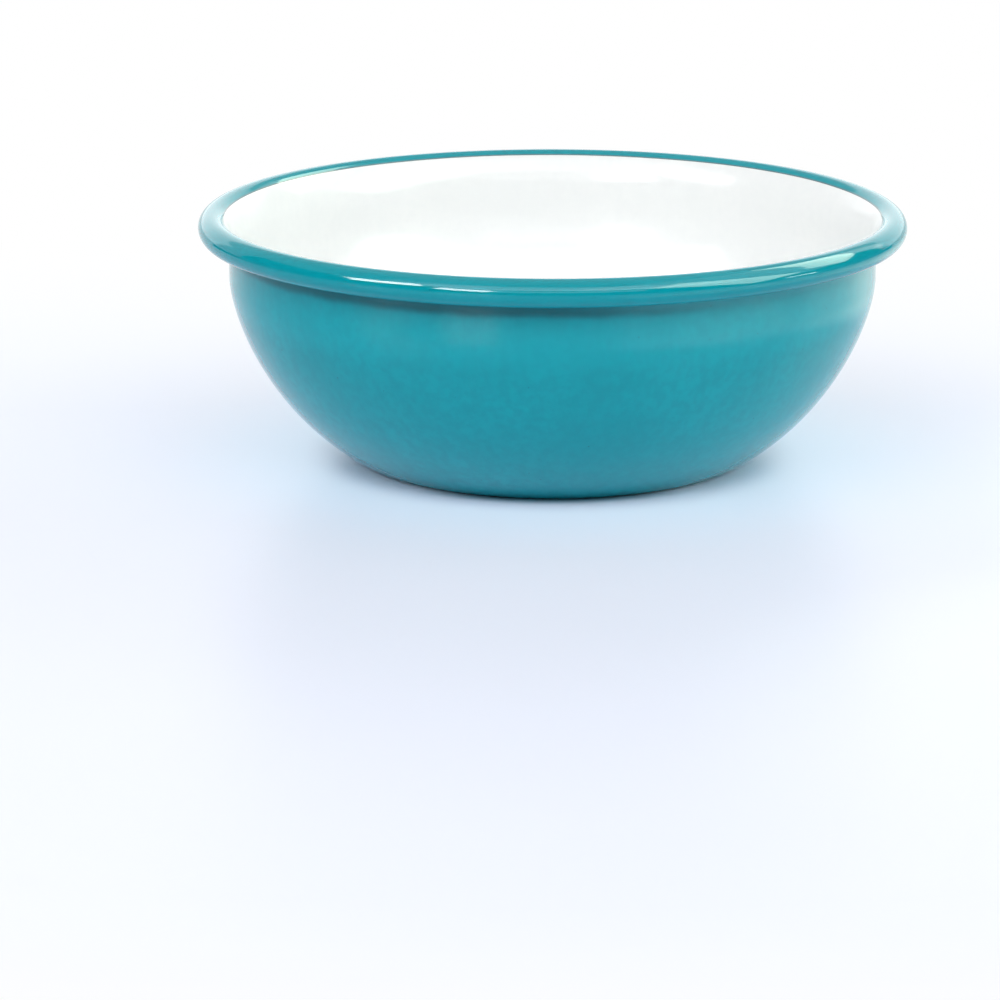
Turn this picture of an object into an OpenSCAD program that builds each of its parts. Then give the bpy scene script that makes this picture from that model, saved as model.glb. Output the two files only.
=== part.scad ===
// Enamel basin bowl: one pressed steel shell under fired coats of enamel.
// Millimetres, +Z up. The origin is the middle of the ring that the bowl stands on.
// Every piece is turned from one profile: the outside face of the finished bowl, from the
// middle of the base up the wall and round the rolled rim. A coat is a range of depths
// below that face, so neighbouring coats always share a face.

/* [Bowl] */
// Diameter over the rolled rim
rim_d = 160; // [130:1:240]
// Height from the table to the top of the rim
bowl_h = 56.5; // [46:0.5:110]
// Height of the upright stretch of wall between the belly and the neck
upright_h = 5; // [2:0.5:12]

/* [Base] */
// Outer diameter of the flat ring that the bowl stands on
foot_d = 85; // [66:1:98]
// Width of the flat ring
ring_w = 6; // [3:0.5:12]
// Width of the slope between the ring and the raised middle of the base
crown_run = 8; // [4:0.5:14]
// How far the middle of the base is raised clear of the table
crown_h = 0.7; // [0.3:0.1:2]
// Radius of the rounded corner between the base and the belly
corner_r = 4; // [2.5:0.5:8]
// How far that corner turns up before the belly begins, in degrees
corner_angle = 29; // [18:1:36]

/* [Belly] */
// Fullness of the belly low down, as a share of its lower tangent
belly_lower_share = 0.68; // [0.4:0.02:0.9]
// Fullness of the belly high up, as a share of its upper tangent
belly_upper_share = 0.36; // [0.1:0.02:0.6]

/* [Rim] */
// Thickness of the rolled bead
bead_d = 6.3; // [5:0.1:9]
// Radius of the neck where the wall flares out into the bead
neck_r = 13; // [8:0.5:20]
// How far the wall leans out before the curl begins, in degrees
flare_angle = 33; // [20:1:45]
// Gap between the cut edge of the curl and the wall
curl_gap = 0.7; // [0.3:0.1:1.2]
// Turn of the curl that the inside colour covers before the rim colour begins, in degrees
lining_turn = 6; // [1:1:40]
// Share of the neck that the outside colour covers, the rest being hidden in the curl
jacket_top_share = 0.7; // [0.3:0.05:0.95]

/* [Sheet and coats] */
// Thickness of the steel sheet
sheet_t = 0.6; // [0.4:0.05:0.9]
// Thickness of the dark ground coat on each face of the steel
ground_t = 0.1; // [0.05:0.01:0.15]
// Thickness of the outside colour
jacket_t = 0.2; // [0.1:0.02:0.3]
// Thickness of the inside colour
lining_t = 0.2; // [0.1:0.02:0.3]
// Thickness of the rim colour
band_t = 0.2; // [0.1:0.02:0.3]
// Thickness of the rim colour where it wraps the cut edge of the curl
edge_t = 0.2; // [0.1:0.02:0.3]

/* [Hidden] */

// Facets of one full turn, and of each curved stretch of the profile
turn_fn = 180;
corner_steps = 5;
belly_steps = 22;
neck_steps = 4;
lead_steps = 1;
curl_steps = 30;

// Depths of the faces between the coats, counted inwards from the outside face
jacket_depth = jacket_t;
steel_out_depth = jacket_depth + ground_t;
steel_in_depth = steel_out_depth + sheet_t;
lining_out_depth = steel_in_depth + ground_t;
lining_depth = lining_out_depth + lining_t;
band_depth = lining_out_depth + band_t;

// Radii of the bead, over the finished rim and at the outside face inside the curl
bead_r = bead_d / 2;
curl_r = bead_r - band_depth;

// Centre of the bead, and the upright wall that flares out to it
bead_centre = [rim_d / 2 - bead_r, bowl_h - bead_r];
reach = neck_r - curl_r;
wall_r = bead_centre[0] - neck_r + reach * cos(flare_angle);
neck_z = bead_centre[1] - reach * sin(flare_angle);
belly_top_z = neck_z - upright_h;

// Turn at which the cut edge of the curl comes within curl_gap of the wall
gap_r = neck_r - curl_gap;
edge_cos = (gap_r * gap_r - bead_r * bead_r - reach * reach) / (2 * bead_r * reach);
edge_angle = flare_angle + 360 - acos(edge_cos);
lining_angle = flare_angle + lining_turn;
jacket_angle = flare_angle * jacket_top_share;

// Radii of the base
foot_r = foot_d / 2;
ring_in_r = foot_r - ring_w;
crown_r = ring_in_r - crown_run;
slope_angle = atan(crown_h / crown_run);

// Control points of the belly, from the end of the base corner up to the upright wall
belly_start = [foot_r + corner_r * sin(corner_angle), corner_r * (1 - cos(corner_angle))];
belly_end = [wall_r, belly_top_z];
belly_knee = [wall_r, belly_start[1] + (wall_r - belly_start[0]) * tan(corner_angle)];
belly = [
    belly_start,
    mix(belly_start, belly_knee, belly_lower_share),
    mix(belly_end, belly_knee, belly_upper_share),
    belly_end
];

function mix(a, b, share) = a + (b - a) * share;

// Place on a curve with the given control points, and the line that its tangent follows
function between(points, share) =
    [for (i = [0 : len(points) - 2]) mix(points[i], points[i + 1], share)];
function curve_chord(points, share) =
    len(points) == 2 ? points : curve_chord(between(points, share), share);
function heading(chord) = atan2(chord[1][1] - chord[0][1], chord[1][0] - chord[0][0]);

// A station is a point of the outside face and the angle at which depth runs into the wall
function station(point, inward) = [point[0], point[1], inward];
function sunk(s, depth) = [s[0] + depth * cos(s[2]), s[1] + depth * sin(s[2])];
function reversed(list) = [for (i = [len(list) - 1 : -1 : 0]) list[i]];

// The stations of each stretch of the profile, in order from the middle of the base
base_run = [
    station([0, crown_h], 90),
    station([crown_r, crown_h], 90 - slope_angle / 2),
    station([ring_in_r, 0], 90 - slope_angle / 2),
    station([foot_r, 0], 90)
];
corner_run = [
    for (i = [1 : corner_steps])
        let (turn = corner_angle * i / corner_steps)
            station([foot_r + corner_r * sin(turn), corner_r * (1 - cos(turn))], 90 + turn)
];
belly_run = [
    for (i = [1 : belly_steps])
        let (share = i / belly_steps, chord = curve_chord(belly, share))
            station(mix(chord[0], chord[1], share), 90 + heading(chord))
];
upright_run = [station([wall_r, neck_z], 180)];

function neck_run(from, to) = [
    for (i = [1 : neck_steps])
        let (lean = mix(from, to, i / neck_steps))
            station(
                [wall_r + neck_r * (1 - cos(lean)), neck_z + neck_r * sin(lean)],
                180 - lean
            )
];
function curl_run(from, to, steps) = [
    for (i = [1 : steps])
        let (inward = 180 - mix(from, to, i / steps))
            station(bead_centre + curl_r * [cos(inward), sin(inward)], inward)
];

wall_run = concat(base_run, corner_run, belly_run, upright_run, neck_run(0, jacket_angle));
lining_run = concat(
    wall_run,
    neck_run(jacket_angle, flare_angle),
    curl_run(flare_angle, lining_angle, lead_steps)
);
band_start = lining_run[len(lining_run) - 1];
band_run = curl_run(lining_angle, edge_angle, curl_steps);
band_end = band_run[len(band_run) - 1];
full_run = concat(lining_run, band_run);

// Station just past the cut edge, where the rim colour closes over it
edge_turn = edge_t / bead_r * 180 / PI;
edge_run = curl_run(edge_angle, edge_angle + edge_turn, lead_steps);

// Outline of the coat that fills the given depths along a run of stations
function layer(run, from, to) = concat(
    [for (s = run) sunk(s, from)],
    reversed([for (s = run) sunk(s, to)])
);

module turned(outline) {
    rotate_extrude($fn = turn_fn) polygon(outline);
}

// Deep-drawn sheet, with its edge curled outwards into a hollow bead
module steel_shell() {
    color("slategray") turned(layer(full_run, steel_out_depth, steel_in_depth));
}

// Dark first coat on the food side, carried over the bead to the cut edge
module ground_coat_inside() {
    color("midnightblue") turned(layer(full_run, steel_in_depth, lining_out_depth));
}

// Dark first coat on the table side, carried up into the curl to the cut edge
module ground_coat_outside() {
    color("midnightblue") turned(layer(full_run, jacket_depth, steel_out_depth));
}

// White cover coat of the inside, which stops on the crest of the flare
module white_lining() {
    color("white") turned(layer(lining_run, lining_out_depth, lining_depth));
}

// Teal cover coat of the bead, which wraps the cut edge under it
module rim_band() {
    outer = concat([band_start], band_run, edge_run);
    inner = concat([band_start], band_run);
    outline = concat(
        [for (s = outer) sunk(s, band_depth)],
        [for (s = edge_run) sunk(s, jacket_depth)],
        [sunk(band_end, jacket_depth)],
        reversed([for (s = inner) sunk(s, lining_out_depth)])
    );
    color("darkcyan") turned(outline);
}

// Teal cover coat of the outside, from under the base up into the mouth of the curl
module teal_jacket() {
    color("teal") turned(layer(wall_run, 0, jacket_depth));
}

steel_shell();
ground_coat_inside();
ground_coat_outside();
white_lining();
rim_band();
teal_jacket();
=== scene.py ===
"""Looks of the enamel basin bowl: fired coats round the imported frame, with floor, light and camera."""

import math

import bpy
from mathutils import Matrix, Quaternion, Vector


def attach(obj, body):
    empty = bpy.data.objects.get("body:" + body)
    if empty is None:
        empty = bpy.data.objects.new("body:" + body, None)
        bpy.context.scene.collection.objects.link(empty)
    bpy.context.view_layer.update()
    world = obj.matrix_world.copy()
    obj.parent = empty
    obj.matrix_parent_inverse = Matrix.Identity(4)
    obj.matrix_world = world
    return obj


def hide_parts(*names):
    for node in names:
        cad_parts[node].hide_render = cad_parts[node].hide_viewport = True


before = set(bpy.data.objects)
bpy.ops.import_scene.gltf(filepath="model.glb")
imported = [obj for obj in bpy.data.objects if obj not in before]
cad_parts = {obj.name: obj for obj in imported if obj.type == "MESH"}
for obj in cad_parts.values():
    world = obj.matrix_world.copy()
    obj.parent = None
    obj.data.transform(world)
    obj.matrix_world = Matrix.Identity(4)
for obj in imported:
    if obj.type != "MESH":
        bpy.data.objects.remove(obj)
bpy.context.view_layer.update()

MM = 0.001

# The bowl's driving sizes, in metres and degrees: the same as the solids are built from
RIM_RADIUS = 80 * MM
BOWL_HEIGHT = 56.5 * MM
UPRIGHT_HEIGHT = 5 * MM
FOOT_RADIUS = 42.5 * MM
RING_WIDTH = 6 * MM
CROWN_RUN = 8 * MM
CROWN_HEIGHT = 0.7 * MM
CORNER_RADIUS = 4 * MM
CORNER_ANGLE = 29
BELLY_LOWER_SHARE = 0.68
BELLY_UPPER_SHARE = 0.36
BEAD_RADIUS = 3.15 * MM
NECK_RADIUS = 13 * MM
FLARE_ANGLE = 33
CURL_GAP = 0.7 * MM
LINING_TURN = 6
JACKET_TOP_SHARE = 0.7
SHEET = 0.6 * MM
GROUND = 0.1 * MM
COVER = 0.2 * MM

# Depths of the coats below the outside face, and what follows from the driving sizes
LINING_OUT_DEPTH = COVER + GROUND + SHEET + GROUND
FULL_DEPTH = LINING_OUT_DEPTH + COVER
CURL_RADIUS = BEAD_RADIUS - FULL_DEPTH
BEAD_CENTRE = (RIM_RADIUS - BEAD_RADIUS, BOWL_HEIGHT - BEAD_RADIUS)
REACH = NECK_RADIUS - CURL_RADIUS
WALL_RADIUS = BEAD_CENTRE[0] - NECK_RADIUS + REACH * math.cos(math.radians(FLARE_ANGLE))
NECK_Z = BEAD_CENTRE[1] - REACH * math.sin(math.radians(FLARE_ANGLE))
GAP_RADIUS = NECK_RADIUS - CURL_GAP
EDGE_COS = (GAP_RADIUS**2 - BEAD_RADIUS**2 - REACH**2) / (2 * BEAD_RADIUS * REACH)
EDGE_ANGLE = FLARE_ANGLE + 360 - math.degrees(math.acos(EDGE_COS))
EDGE_TURN = math.degrees(COVER / BEAD_RADIUS)
JACKET_ANGLE = FLARE_ANGLE * JACKET_TOP_SHARE

# Fineness of the turned meshes
AROUND = 288
CORNER_STEPS = 10
BELLY_STEPS = 44
NECK_STEPS = 8
LEAD_STEPS = 2
CURL_STEPS = 72
CURL_STEP = (EDGE_ANGLE - FLARE_ANGLE - LINING_TURN) / CURL_STEPS
SHARP_ANGLE = math.radians(50)
# Radius below which a point counts as on the axis
POLE_RADIUS = 0.001 * MM

# Waves round the bowl: how many, how large, and their phase
# How far the dipped line between white and teal wanders, in degrees of curl: lowest at the two sides
LINE_WANDER = ((2, 4.2, -math.pi / 2), (3, 0.5, 0.4), (7, 0.3, 2.1), (16, 0.2, 4.0))
# How far the pressed bead and wall wander from true round, in metres at the rim
ROUND_WANDER = (
    (2, 0.05 * MM, 1.0),
    (5, 0.02 * MM, 3.3),
    (9, 0.012 * MM, 0.7),
    (23, 0.004 * MM, 5.1),
)
# Width of the greyed edge where the teal coat runs out over the white, and the points that carry it
LINE_WIDTH = 0.3 * MM
LINE_POINTS = 6


def wander(waves, angle):
    """Sum of a few slow waves round the bowl."""
    return sum(size * math.sin(count * angle + phase) for count, size, phase in waves)


def mix(a, b, share):
    return a + (b - a) * share


def station(r, z, inward):
    """A point of the outside face, and the angle at which depth runs into the wall."""
    return (r, z, math.radians(inward))


def sunk(place, depth):
    """The point at this depth below a station."""
    r, z, inward = place
    return (r + depth * math.cos(inward), z + depth * math.sin(inward))


def base_run():
    """Stations from the middle of the base to the end of its rounded corner."""
    slope = math.degrees(math.atan(CROWN_HEIGHT / CROWN_RUN))
    ring_in = FOOT_RADIUS - RING_WIDTH
    run = [
        station(0, CROWN_HEIGHT, 90),
        station(ring_in - CROWN_RUN, CROWN_HEIGHT, 90 - slope / 2),
        station(ring_in, 0, 90 - slope / 2),
        station(FOOT_RADIUS, 0, 90),
    ]
    for i in range(1, CORNER_STEPS + 1):
        turn = math.radians(CORNER_ANGLE * i / CORNER_STEPS)
        r = FOOT_RADIUS + CORNER_RADIUS * math.sin(turn)
        z = CORNER_RADIUS * (1 - math.cos(turn))
        run.append(station(r, z, 90 + math.degrees(turn)))
    return run


def belly_run():
    """Stations of the belly, one cubic curve from the base corner to the upright wall."""
    turn = math.radians(CORNER_ANGLE)
    start = Vector((
        FOOT_RADIUS + CORNER_RADIUS * math.sin(turn),
        CORNER_RADIUS * (1 - math.cos(turn)),
    ))
    end = Vector((WALL_RADIUS, NECK_Z - UPRIGHT_HEIGHT))
    knee = Vector((WALL_RADIUS, start.y + (WALL_RADIUS - start.x) * math.tan(turn)))
    control = [start, mix(start, knee, BELLY_LOWER_SHARE), mix(end, knee, BELLY_UPPER_SHARE), end]
    run = []
    for i in range(1, BELLY_STEPS + 1):
        share = i / BELLY_STEPS
        chord = control
        while len(chord) > 2:
            chord = [mix(a, b, share) for a, b in zip(chord, chord[1:])]
        place = mix(chord[0], chord[1], share)
        along = chord[1] - chord[0]
        run.append(station(place.x, place.y, 90 + math.degrees(math.atan2(along.y, along.x))))
    return run


def neck_run(low, high):
    """Stations of the neck between two angles of lean."""
    run = []
    for i in range(1, NECK_STEPS + 1):
        lean = mix(low, high, i / NECK_STEPS)
        r = WALL_RADIUS + NECK_RADIUS * (1 - math.cos(math.radians(lean)))
        z = NECK_Z + NECK_RADIUS * math.sin(math.radians(lean))
        run.append(station(r, z, 180 - lean))
    return run


def curl_place(turn):
    """Station of the curl at this turn, which carries on from the neck's lean."""
    inward = math.radians(180 - turn)
    r = BEAD_CENTRE[0] + CURL_RADIUS * math.cos(inward)
    z = BEAD_CENTRE[1] + CURL_RADIUS * math.sin(inward)
    return station(r, z, 180 - turn)


def curl_run(low, high, steps):
    """Stations of the curl between two turns."""
    return [curl_place(mix(low, high, i / steps)) for i in range(1, steps + 1)]


WALL_RUN = base_run() + belly_run() + [station(WALL_RADIUS, NECK_Z, 180)]
JACKET_RUN = WALL_RUN + neck_run(0, JACKET_ANGLE)
FLARE_RUN = JACKET_RUN + neck_run(JACKET_ANGLE, FLARE_ANGLE)


def line_turn(angle):
    """Turn of the curl at which white gives way to teal, at this angle round the bowl."""
    return FLARE_ANGLE + LINING_TURN + wander(LINE_WANDER, angle)


def line_shade(turn_past):
    """How greyed the teal coat is, this far round the curl from the line."""
    return math.exp(-((math.radians(turn_past) * BEAD_RADIUS / LINE_WIDTH) ** 2))


def lining_outline(angle):
    """Outline of the white coat at this angle round the bowl."""
    run = FLARE_RUN + curl_run(FLARE_ANGLE, line_turn(angle), LEAD_STEPS)
    return [sunk(s, FULL_DEPTH) for s in run] + [sunk(s, LINING_OUT_DEPTH) for s in reversed(run)]


def jacket_outline(angle):
    """Outline of the outside coat, the same at every angle."""
    return [sunk(s, 0) for s in JACKET_RUN] + [sunk(s, COVER) for s in reversed(JACKET_RUN)]


def band_outline(angle):
    """Outline of the rim's coat at this angle, from the line over the bead and round the cut edge."""
    start = line_turn(angle)
    inner = [curl_place(start)] + curl_run(start, EDGE_ANGLE, CURL_STEPS)
    past_edge = curl_place(EDGE_ANGLE + EDGE_TURN)
    outer = inner + [past_edge]
    return (
        [sunk(s, FULL_DEPTH) for s in outer]
        + [sunk(past_edge, COVER), sunk(inner[-1], COVER)]
        + [sunk(s, LINING_OUT_DEPTH) for s in reversed(inner)]
    )


def add_object(name, data):
    thing = bpy.data.objects.new(name, data)
    bpy.context.scene.collection.objects.link(thing)
    return thing


def turned(name, outline_at, shades=()):
    """A closed piece turned about the bowl's axis, from the outline at each angle round it.

    The shades are kept on the mesh for the first points of the outline, as the attribute "line".
    """
    verts, faces, rings = [], [], []
    poles = {}
    for i in range(AROUND):
        angle = math.tau * i / AROUND
        out = wander(ROUND_WANDER, angle)
        ring = []
        for k, (r, z) in enumerate(outline_at(angle)):
            if r < POLE_RADIUS:
                if k not in poles:
                    poles[k] = len(verts)
                    verts.append((0, 0, z))
                ring.append(poles[k])
                continue
            swell = r + out * r / RIM_RADIUS
            ring.append(len(verts))
            verts.append((swell * math.cos(angle), swell * math.sin(angle), z))
        rings.append(ring)
    count = len(rings[0])
    for i in range(AROUND):
        here, there = rings[i], rings[(i + 1) % AROUND]
        for k in range(count):
            n = (k + 1) % count
            corners = [here[k], there[k], there[n], here[n]]
            face = [v for j, v in enumerate(corners) if v not in corners[:j]]
            if len(face) > 2:
                faces.append(face)
    mesh = bpy.data.meshes.new(name)
    mesh.from_pydata(verts, [], faces)
    line = mesh.attributes.new("line", "FLOAT", "POINT")
    for ring in rings:
        for vertex, shade in zip(ring, shades):
            line.data[vertex].value = shade
    mesh.validate()
    for polygon in mesh.polygons:
        polygon.use_smooth = True
    mesh.set_sharp_from_angle(angle=SHARP_ANGLE)
    return add_object(name, mesh)


class Nodes:
    """A material's node tree, with short names for the few nodes that the finishes use."""

    # Numbers of the mix node's colour sockets, whose names are not unique
    MIX_SHARE, MIX_A, MIX_B, MIX_RESULT = 0, 6, 7, 2

    def __init__(self, name):
        self.material = bpy.data.materials.new(name)
        self.material.use_nodes = True
        self.tree = self.material.node_tree
        self.tree.nodes.clear()
        self.out = self.add("ShaderNodeOutputMaterial")
        self.place = self.add("ShaderNodeTexCoord").outputs["Object"]

    def add(self, kind, **inputs):
        node = self.tree.nodes.new(kind)
        for name, value in inputs.items():
            self.feed(node.inputs[name.replace("_", " ")], value)
        return node

    def feed(self, socket, value):
        """Links another node's output to a socket, or sets the socket to a constant."""
        if isinstance(value, bpy.types.NodeSocket):
            self.tree.links.new(value, socket)
        else:
            socket.default_value = value

    def along(self, axis):
        """The place on the piece along one axis."""
        return self.add("ShaderNodeSeparateXYZ", Vector=self.place).outputs[axis]

    def drawn_down(self, share):
        """The place on the piece, its heights shrunk so that a pattern is drawn out down the wall."""
        node = self.add("ShaderNodeMapping", Vector=self.place)
        node.inputs["Scale"].default_value = (1, 1, share)
        return node.outputs["Vector"]

    def noise(self, size, detail, place=None):
        """Soft noise with features of about the given size, in metres."""
        place = place or self.place
        node = self.add("ShaderNodeTexNoise", Vector=place, Scale=1 / size, Detail=detail)
        return node.outputs["Fac"]

    def span(self, value, low, high, to_low=0.0, to_high=1.0):
        """The value's stretch from low to high, spread smoothly over another."""
        node = self.add("ShaderNodeMapRange")
        node.interpolation_type = "SMOOTHSTEP"
        for socket, number in zip(node.inputs, (value, low, high, to_low, to_high)):
            self.feed(socket, number)
        return node.outputs["Result"]

    def pattern(self, size, detail, *stretches, place=None):
        """Noise with one stretch of its values spread over another."""
        return self.span(self.noise(size, detail, place), *stretches)

    def specks(self, spacing, size, chance):
        """Round specks in a share of the cells of a random pattern."""
        node = self.add("ShaderNodeTexVoronoi", Vector=self.place, Scale=1 / spacing)
        near = self.span(node.outputs["Distance"], size / spacing, size / spacing / 2)
        pick = self.add("ShaderNodeSeparateColor", Color=node.outputs["Color"]).outputs[0]
        return self.math("MULTIPLY", near, self.math("LESS_THAN", pick, chance))

    def attribute(self, name):
        node = self.add("ShaderNodeAttribute")
        node.attribute_name = name
        return node.outputs["Fac"]

    def math(self, operation, a, b):
        node = self.add("ShaderNodeMath")
        node.operation = operation
        self.feed(node.inputs[0], a)
        self.feed(node.inputs[1], b)
        return node.outputs["Value"]

    def tint(self, share, a, b):
        """The first colour, with this share of the second."""
        node = self.add("ShaderNodeMix")
        node.data_type = "RGBA"
        for number, value in ((self.MIX_SHARE, share), (self.MIX_A, a), (self.MIX_B, b)):
            self.feed(node.inputs[number], value)
        return node.outputs[self.MIX_RESULT]

    def bump(self, size, detail, height, normal=None):
        """Bumps of about the given size and height, on top of those already in the normal."""
        node = self.add("ShaderNodeBump", Height=self.noise(size, detail), Distance=height)
        if normal is not None:
            self.feed(node.inputs["Normal"], normal)
        return node.outputs["Normal"]

    def finish(self, shader):
        self.tree.links.new(shader.outputs[0], self.out.inputs["Surface"])
        return self.material


# Patterns of the enamel: size of the features, detail of the noise, the stretch of the noise that is
# used, and the values that its two ends give (for the gloss, each finish has its own)
DRIFT = (22 * MM, 2.0, 0.3, 0.7, 0.0, 0.6)
DRAIN = (2.4 * MM, 2.0, 0.4, 0.75, 0.0, 0.5)
MOTTLE = (1.9 * MM, 3.0, 0.35, 0.7, 0.0, 0.6)
UNEVEN = (7 * MM, 2.0, 0.2, 0.8, -0.3 * MM, 0.3 * MM)
GLOSS = (9 * MM, 2.0, 0.3, 0.7)
# Share to which heights are shrunk for the streaks drawn down the wall
DRAWN_DOWN = 0.18
SPECK_SPACING = 2.6 * MM
SPECK_SIZE = 0.28 * MM
# Bumps of the enamel: size of the features, detail of the noise, and height
SWELL = (14 * MM, 1.0, 0.06 * MM)
PEEL = (2.2 * MM, 1.0, 0.0045 * MM)
ENAMEL_IOR = 1.5
ENAMEL_SPECULAR = 0.25
LINE_GREY = (0.16, 0.2, 0.2, 1)

# Finish of each enamel: main colour and second shade, specks and their chance, ends of the roughness,
# and for the outside coat painted light and shade up the wall
FINISHES = {
    "white_enamel": dict(
        colour=(0.9, 0.905, 0.9, 1),
        shade=(0.87, 0.88, 0.88, 1),
        speck=(0.74, 0.745, 0.745, 1),
        speck_chance=0.02,
        rough=(0.14, 0.2),
    ),
    "teal_enamel": dict(
        colour=(0.001, 0.355, 0.42, 1),
        shade=(0.001, 0.287, 0.346, 1),
        speck=(0.002, 0.2, 0.24, 1),
        speck_chance=0.12,
        rough=(0.05, 0.09),
        with_painted_light=True,
    ),
    "rim_enamel": dict(
        colour=(0.001, 0.322, 0.385, 1),
        shade=(0.001, 0.296, 0.353, 1),
        speck=(0.002, 0.2, 0.24, 1),
        speck_chance=0.05,
        rough=(0.05, 0.09),
    ),
    "ground_enamel": dict(
        colour=(0.012, 0.016, 0.03, 1),
        shade=(0.02, 0.026, 0.045, 1),
        speck=(0.08, 0.09, 0.11, 1),
        speck_chance=0.3,
        rough=(0.25, 0.4),
    ),
}

# Heights between which painted light makes the outside coat paler upwards, its colour there and that
# colour's share
PAINTED_LIGHT_HEIGHTS = (33.5 * MM, 38.5 * MM)
PAINTED_LIGHT_TEAL = (0.001, 0.4, 0.47, 1)
PAINTED_LIGHT_SHARE = 0.35
# Heights between which painted shade darkens the wall under the bead, its dark colour, that colour's
# share, and the places along X between which the painted shade dies out
PAINTED_SHADE_HEIGHTS = (46.4 * MM, 48.3 * MM)
PAINTED_SHADE_TEAL = (0.001, 0.06, 0.07, 1)
PAINTED_SHADE_SHARE = 0.58
PAINTED_SHADE_SIDE = (-6 * MM, 44 * MM)


def painted_light_and_shade(nodes, base):
    """The outside coat's colour up the wall: painted light makes it paler high up, painted shade darkens
    it under the bead.
    """
    height = nodes.math("ADD", nodes.along("Z"), nodes.pattern(*UNEVEN))
    # Painted light: the upper wall is paler, as if lit more from above
    base = nodes.tint(nodes.span(height, *PAINTED_LIGHT_HEIGHTS, 0.0, PAINTED_LIGHT_SHARE), base, PAINTED_LIGHT_TEAL)
    # Painted shade under the bead, dying out towards +X
    side = nodes.span(nodes.along("X"), *PAINTED_SHADE_SIDE, PAINTED_SHADE_SHARE, 0.0)
    return nodes.tint(nodes.math("MULTIPLY", nodes.span(height, *PAINTED_SHADE_HEIGHTS), side), base, PAINTED_SHADE_TEAL)


def enamel(name, colour, shade, speck, speck_chance, rough, with_painted_light=False):
    """Fired enamel: slow drifts of shade, streaks drawn down the wall, mottle, a few specks, and orange
    peel; the outside coat also gets painted light high up the wall and painted shade under the bead.
    """
    nodes = Nodes(name)
    streaks = nodes.pattern(*DRAIN, place=nodes.drawn_down(DRAWN_DOWN))
    base = nodes.tint(nodes.pattern(*DRIFT), colour, shade)
    base = nodes.tint(streaks, base, shade)
    base = nodes.tint(nodes.pattern(*MOTTLE), base, shade)
    base = nodes.tint(nodes.specks(SPECK_SPACING, SPECK_SIZE, speck_chance), base, speck)
    base = nodes.tint(nodes.attribute("line"), base, LINE_GREY)
    # The outside coat gets painted light high up the wall and painted shade under the bead
    if with_painted_light:
        base = painted_light_and_shade(nodes, base)
    gloss = nodes.pattern(*GLOSS, *rough)
    peel = nodes.bump(*PEEL, nodes.bump(*SWELL))
    shader = nodes.add("ShaderNodeBsdfPrincipled", Base_Color=base, Roughness=gloss, Normal=peel)
    shader.inputs["IOR"].default_value = ENAMEL_IOR
    shader.inputs["Specular IOR Level"].default_value = ENAMEL_SPECULAR
    return nodes.finish(shader)


STEEL_DARK = (0.36, 0.37, 0.39, 1)
STEEL_LIGHT = (0.5, 0.51, 0.53, 1)
# Patterns of the steel's colour and roughness, as for the enamel
STEEL_GRAIN = (0.8 * MM, 4.0, 0.3, 0.7)
STEEL_GLOSS = (3 * MM, 2.0, 0.3, 0.7, 0.32, 0.5)


def drawn_steel():
    """Bare drawn sheet: grey metal with a fine grain and uneven gloss."""
    nodes = Nodes("drawn_steel")
    base = nodes.tint(nodes.pattern(*STEEL_GRAIN), STEEL_DARK, STEEL_LIGHT)
    gloss = nodes.pattern(*STEEL_GLOSS)
    shader = nodes.add("ShaderNodeBsdfPrincipled", Base_Color=base, Roughness=gloss)
    shader.inputs["Metallic"].default_value = 1.0
    return nodes.finish(shader)


def dress(piece, material, slot, *nodes):
    """Gives a new piece its material and its body, and hides the nodes that it stands for; the slot is
    not used.
    """
    piece.data.materials.append(material)
    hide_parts(*nodes)
    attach(piece, "root")


def repaint(node, material):
    """Gives a solid that stays as it is a better material."""
    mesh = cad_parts[node].data
    mesh.materials.clear()
    mesh.materials.append(material)


def add_bowl():
    enamels = {name: enamel(name, **finish) for name, finish in FINISHES.items()}
    shades = [line_shade(CURL_STEP * i) for i in range(LINE_POINTS)]
    lining = turned("lining_enamel", lining_outline)
    dress(lining, enamels["white_enamel"], "white_enamel", "white_lining")
    band = turned("rim_enamel", band_outline, shades)
    dress(band, enamels["rim_enamel"], "rim_enamel", "rim_band")
    jacket = turned("jacket_enamel", jacket_outline)
    dress(jacket, enamels["teal_enamel"], "teal_enamel", "teal_jacket")
    repaint("steel_shell", drawn_steel())
    repaint("ground_coat_inside", enamels["ground_enamel"])
    repaint("ground_coat_outside", enamels["ground_enamel"])


# Camera, from the photograph: the point of the axis that it is set by, and the pixel where that falls
FRAME_PIXELS = 1000
SENSOR_MM = 36
FOCAL_PIXELS = 5192.3
CAMERA_TARGET = Vector((0, 0, 33.45 * MM))
CAMERA_DISTANCE = 1179.9 * MM
CAMERA_ELEVATION = 12.02
TARGET_PIXEL = (551.73, 309.49)


def outward(azimuth, elevation):
    """Direction from the bowl: azimuth in degrees from the camera's side towards its right."""
    a, e = math.radians(azimuth), math.radians(elevation)
    return Vector((math.sin(a) * math.cos(e), -math.cos(a) * math.cos(e), math.sin(e)))


def add_camera():
    data = bpy.data.cameras.new("camera")
    data.sensor_width = SENSOR_MM
    data.lens = FOCAL_PIXELS / FRAME_PIXELS * SENSOR_MM
    data.dof.use_dof = False
    camera = add_object("camera", data)
    back = outward(0, CAMERA_ELEVATION)
    camera.location = CAMERA_TARGET + CAMERA_DISTANCE * back
    right = Vector((1, 0, 0))
    up = back.cross(right)
    middle = FRAME_PIXELS / 2
    aside = right * (TARGET_PIXEL[0] - middle) / FOCAL_PIXELS
    above = up * (middle - TARGET_PIXEL[1]) / FOCAL_PIXELS
    aim = -back - aside - above
    camera.rotation_mode = "QUATERNION"
    camera.rotation_quaternion = aim.to_track_quat("-Z", "Y")
    bpy.context.scene.camera = camera


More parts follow.
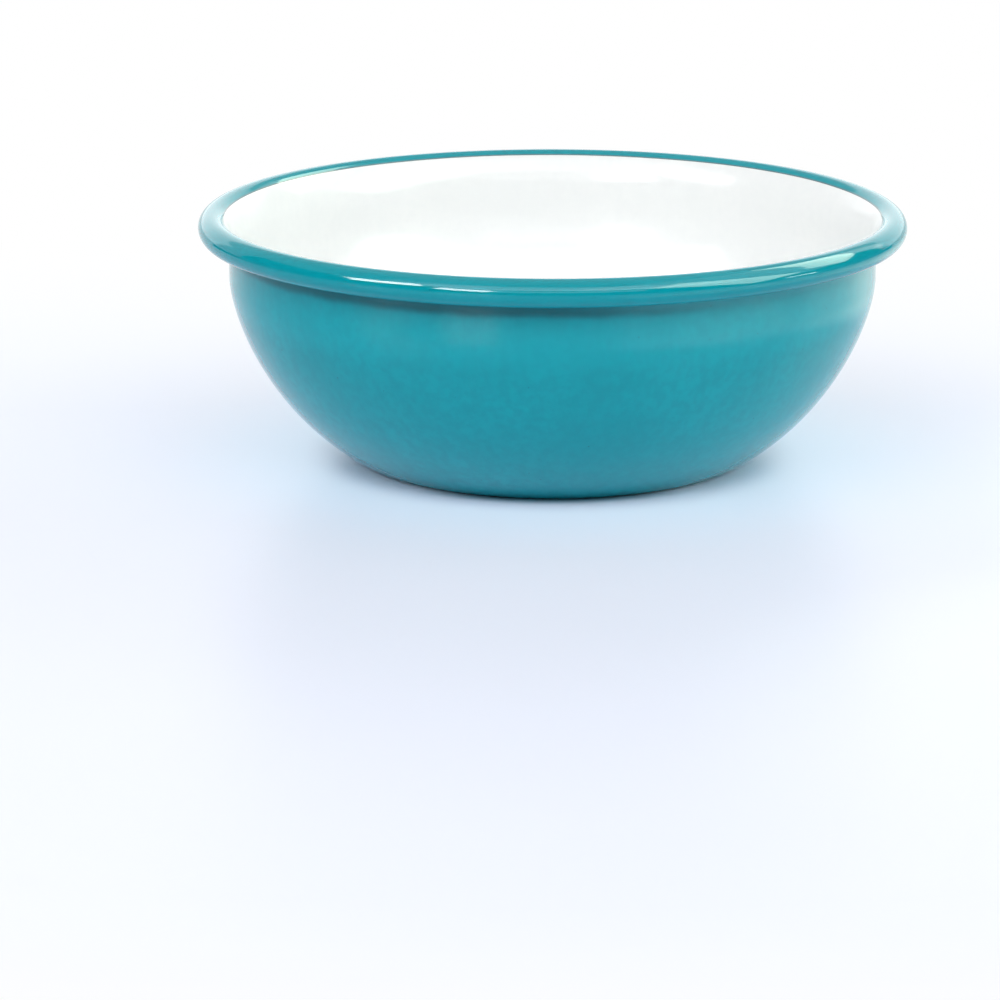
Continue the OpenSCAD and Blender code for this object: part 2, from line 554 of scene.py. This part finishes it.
def seen_ray(tree):
    """1 for rays that see the background as it looks: from the camera, or by gloss or glass."""
    path = tree.nodes.new("ShaderNodeLightPath")
    total = path.outputs["Is Camera Ray"]
    for kind in ("Is Glossy Ray", "Is Transmission Ray"):
        node = tree.nodes.new("ShaderNodeMath")
        node.operation = "MAXIMUM"
        tree.links.new(total, node.inputs[0])
        tree.links.new(path.outputs[kind], node.inputs[1])
        total = node.outputs["Value"]
    return total


FLOOR_HALF = 4.0
# The floor lies a hair under the foot, so that no two faces lie in one plane
FLOOR_DROP = 0.01 * MM
FLOOR_COLOUR = (0.835, 0.845, 0.985, 1)
FLOOR_SHADE = (0.82, 0.833, 0.975, 1)
FLOOR_DRIFT = (0.15, 2.0, 0.3, 0.7)
FLOOR_ROUGH = 0.35
FLOOR_SPECULAR = 0.1
# Painted light: pale blue glow in the floor round the bowl, which lightens its shade there, its share,
# and where it comes in from the foot
PAINTED_PALE_GLOW = (0.92, 0.96, 1.0, 1)
PALE_GLOW_SHARE = 0.24
FOOT_FADE = (0.046, 0.058)
# Painted teal bounce light from the belly, glowing in the floor, its share over the pale blue, and where
# it dies out
PAINTED_TEAL_BOUNCE = (0.8, 1.0, 1.15, 1)
TEAL_BOUNCE_SHARE = 0.14
TEAL_BOUNCE_FADE = (0.052, 0.1)
# Painted contact shadow on the floor right in front of the foot: its colour, and where it dies out: from
# the axis, and along +Y
PAINTED_CONTACT_SHADOW = (0.1, 0.3, 0.4, 1)
CONTACT_SHADOW_FADE = (0.0435, 0.049)
CONTACT_SHADOW_FRONT = (-0.044, -0.033)
# The floor fades to white between these distances: behind the bowl along +Y, and all round it
BACK_FADE = (-0.05, 0.24)
ROUND_FADE = (0.29, 0.4)
WHITE = (1, 1, 1, 1)


def add_floor():
    mesh = bpy.data.meshes.new("floor")
    h, z = FLOOR_HALF, -FLOOR_DROP
    mesh.from_pydata([(-h, -h, z), (h, -h, z), (h, h, z), (-h, h, z)], [], [(0, 1, 2, 3)])
    floor = add_object("floor", mesh)
    nodes = Nodes("floor")
    length = nodes.add("ShaderNodeVectorMath", Vector=nodes.place)
    length.operation = "LENGTH"
    from_axis = length.outputs["Value"]
    base = nodes.tint(nodes.pattern(*FLOOR_DRIFT), FLOOR_COLOUR, FLOOR_SHADE)
    # Painted contact shadow on the floor right in front of the foot
    beside = nodes.span(from_axis, *CONTACT_SHADOW_FADE, 1.0, 0.0)
    in_front = nodes.span(nodes.along("Y"), *CONTACT_SHADOW_FRONT, 1.0, 0.0)
    base = nodes.tint(nodes.math("MULTIPLY", beside, in_front), base, PAINTED_CONTACT_SHADOW)
    table = nodes.add("ShaderNodeBsdfPrincipled", Base_Color=base, Roughness=FLOOR_ROUGH)
    table.inputs["Specular IOR Level"].default_value = FLOOR_SPECULAR
    behind = nodes.span(nodes.along("Y"), *BACK_FADE)
    far = nodes.span(from_axis, *ROUND_FADE)
    white_share = nodes.math("MAXIMUM", behind, far)
    # Painted light round the bowl: a pale glow, with painted teal bounce light near the bowl, lightens
    # the floor's shade
    pale = nodes.tint(nodes.span(from_axis, *TEAL_BOUNCE_FADE), PAINTED_TEAL_BOUNCE, PAINTED_PALE_GLOW)
    pale_share = nodes.span(from_axis, *TEAL_BOUNCE_FADE, PALE_GLOW_SHARE + TEAL_BOUNCE_SHARE, PALE_GLOW_SHARE)
    near = nodes.math("MULTIPLY", nodes.span(from_axis, *FOOT_FADE), pale_share)
    glow = nodes.add("ShaderNodeEmission", Color=nodes.tint(white_share, pale, WHITE))
    fade = nodes.math("MULTIPLY", nodes.math("MAXIMUM", white_share, near), seen_ray(nodes.tree))
    shader = nodes.add("ShaderNodeMixShader")
    nodes.feed(shader.inputs[0], fade)
    nodes.feed(shader.inputs[1], table.outputs[0])
    nodes.feed(shader.inputs[2], glow.outputs[0])
    mesh.materials.append(nodes.finish(shader))


AMBIENT = (0.82, 0.94, 1.0, 1)
AMBIENT_STRENGTH = 0.18


def add_world():
    """Dim ambient light, and white wherever the room itself is seen."""
    world = bpy.data.worlds.new("studio")
    bpy.context.scene.world = world
    world.use_nodes = True
    tree = world.node_tree
    tree.nodes.clear()
    soft = tree.nodes.new("ShaderNodeBackground")
    soft.inputs["Color"].default_value = AMBIENT
    soft.inputs["Strength"].default_value = AMBIENT_STRENGTH
    white = tree.nodes.new("ShaderNodeBackground")
    choose = tree.nodes.new("ShaderNodeMixShader")
    out = tree.nodes.new("ShaderNodeOutputWorld")
    tree.links.new(seen_ray(tree), choose.inputs[0])
    tree.links.new(soft.outputs[0], choose.inputs[1])
    tree.links.new(white.outputs[0], choose.inputs[2])
    tree.links.new(choose.outputs[0], out.inputs["Surface"])


# Flat stretches that a bent card is made of
CARD_STEPS = 52


def bent_card(name, distance, start, end, height):
    """A card that stands on the floor, bent round the bowl between two azimuths.

    The camera doesn't see it and it throws no shadow.
    """
    verts, faces = [], []
    for i in range(CARD_STEPS + 1):
        foot = outward(mix(start, end, i / CARD_STEPS), 0) * distance
        verts += [foot, foot + Vector((0, 0, height))]
        if i:
            faces.append((2 * i - 2, 2 * i - 1, 2 * i + 1, 2 * i))
    mesh = bpy.data.meshes.new(name)
    mesh.from_pydata(verts, [], faces)
    card = add_object(name, mesh)
    card.visible_camera = False
    card.visible_shadow = False
    return card


# Dark cards, which the gloss shows in place of the white room: distance, two azimuths, and height
FLAGS = {
    "far_flag": (3.3, -116, 130, 1.8),
    "near_flag": (0.42, -130, 130, 0.042),
}
FLAG_GREY = (0.012, 0.012, 0.013, 1)


def add_flag(name, about):
    flag = bent_card(name, *about)
    nodes = Nodes(name)
    cloth = nodes.add("ShaderNodeBsdfPrincipled", Base_Color=FLAG_GREY, Roughness=1.0)
    flag.data.materials.append(nodes.finish(cloth))


# Pale card on the right, low and close, for the gloss alone: the photograph's floor is blown out there
PALE_CARD = (0.13, 0, 145, 0.045)
CARD_COLOUR = (0.95, 1.0, 0.75, 1)
CARD_RADIANCE = 0.85
# Where its light comes in and dies out: an axis, two places along it and the light's shares there
CARD_FADES = (
    ("Y", -0.13, -0.119, 0.0, 1.0),
    ("Y", 0.03, 0.1, 1.0, 0.0),
    ("Z", 0.0, 0.016, 0.0, 1.0),
    ("Z", 0.026, 0.045, 1.0, 0.0),
)


def add_pale_card():
    card = bent_card("pale_card", *PALE_CARD)
    card.visible_diffuse = False
    nodes = Nodes("pale_card")
    strength = CARD_RADIANCE
    for axis, *fade in CARD_FADES:
        strength = nodes.math("MULTIPLY", nodes.span(nodes.along(axis), *fade), strength)
    glow = nodes.add("ShaderNodeEmission", Color=CARD_COLOUR, Strength=strength)
    both = nodes.add("ShaderNodeAddShader")
    nodes.feed(both.inputs[0], glow.outputs[0])
    nodes.feed(both.inputs[1], nodes.add("ShaderNodeBsdfTransparent").outputs[0])
    card.data.materials.append(nodes.finish(both))


LIGHT_CENTRE = Vector((0, 0, BOWL_HEIGHT))
LIGHT_DISTANCE = 3.0
NEUTRAL = (1, 1, 1)
# Lamps: azimuth and elevation of the middle, width, height and roll, all in degrees as seen from the
# bowl, then radiance, and colour and distance where they aren't the usual ones.
# Softboxes light the bowl and show in its gloss
SOFTBOXES = {
    "key_strip": (0, 33, 70, 10, 0, 4.8),
    "key_softbox": (0, 47, 110, 18, 0, 2.7),
    "left_softbox": (-45, 45, 30, 24, 0, 1.4),
    "top_softbox": (180, 80, 54, 54, 0, 0.35),
}
# Fills stand for light off the walls: they light the bowl and don't show in its gloss
FILLS = {
    "back_fill": (180, 20, 80, 30, 0, 1.8),
    "left_fill": (-108, 14, 60, 22, 0, 2.2),
    "right_fill": (108, 14, 60, 22, 0, 4.2, (0.92, 1.0, 0.92)),
}
# Windows and skies show in the gloss alone, as the streaks and sheen on the bead
WINDOWS = {
    "back_window": (180, 14, 90, 28, 0, 1.1),
    "right_sky": (80, 38, 110, 56, 0, 1.6, (1.0, 1.0, 0.9)),
    "front_sky": (6, 17, 46, 9, 0, 3.0),
    "left_window": (-58, 27, 24, 13, 24, 32.0),
    "front_window": (-28, 17, 18, 11, -12, 32.0),
    "right_window": (61, 24, 44, 30, -45, 11.0, (0.8, 1.0, 0.8)),
    "right_slit": (82, -2.2, 12, 5, 0, 32.0, (0.85, 1.0, 0.95), 0.8),
    "far_right_window": (119, 35, 44, 20, 38, 9.0, (0.85, 1.0, 0.78)),
}


def add_lamp(name, place, size, roll, radiance, colour=NEUTRAL, distance=LIGHT_DISTANCE):
    """A rectangular lamp that faces the bowl."""
    wide, tall = (2 * distance * math.tan(math.radians(angle / 2)) for angle in size)
    data = bpy.data.lights.new(name, "AREA")
    data.shape = "RECTANGLE"
    data.color = colour
    data.size = wide
    data.size_y = tall
    data.energy = radiance * math.pi * data.size * data.size_y
    lamp = add_object(name, data)
    away = outward(*place)
    lamp.location = LIGHT_CENTRE + away * distance
    lamp.rotation_mode = "QUATERNION"
    turn = Quaternion((0, 0, 1), math.radians(roll))
    lamp.rotation_quaternion = (-away).to_track_quat("-Z", "Y") @ turn
    lamp.visible_camera = False
    return lamp


def add_lamps(table):
    lamps = []
    for name, (azimuth, elevation, wide, tall, *rest) in table.items():
        lamps.append(add_lamp(name, (azimuth, elevation), (wide, tall), *rest))
    return lamps


add_bowl()
add_camera()
add_floor()
add_world()
for name, about in FLAGS.items():
    add_flag(name, about)
add_pale_card()
add_lamps(SOFTBOXES)
for lamp in add_lamps(FILLS):
    lamp.visible_glossy = False
for lamp in add_lamps(WINDOWS):
    lamp.visible_diffuse = False

bpy.context.scene.view_settings.view_transform = "Standard"
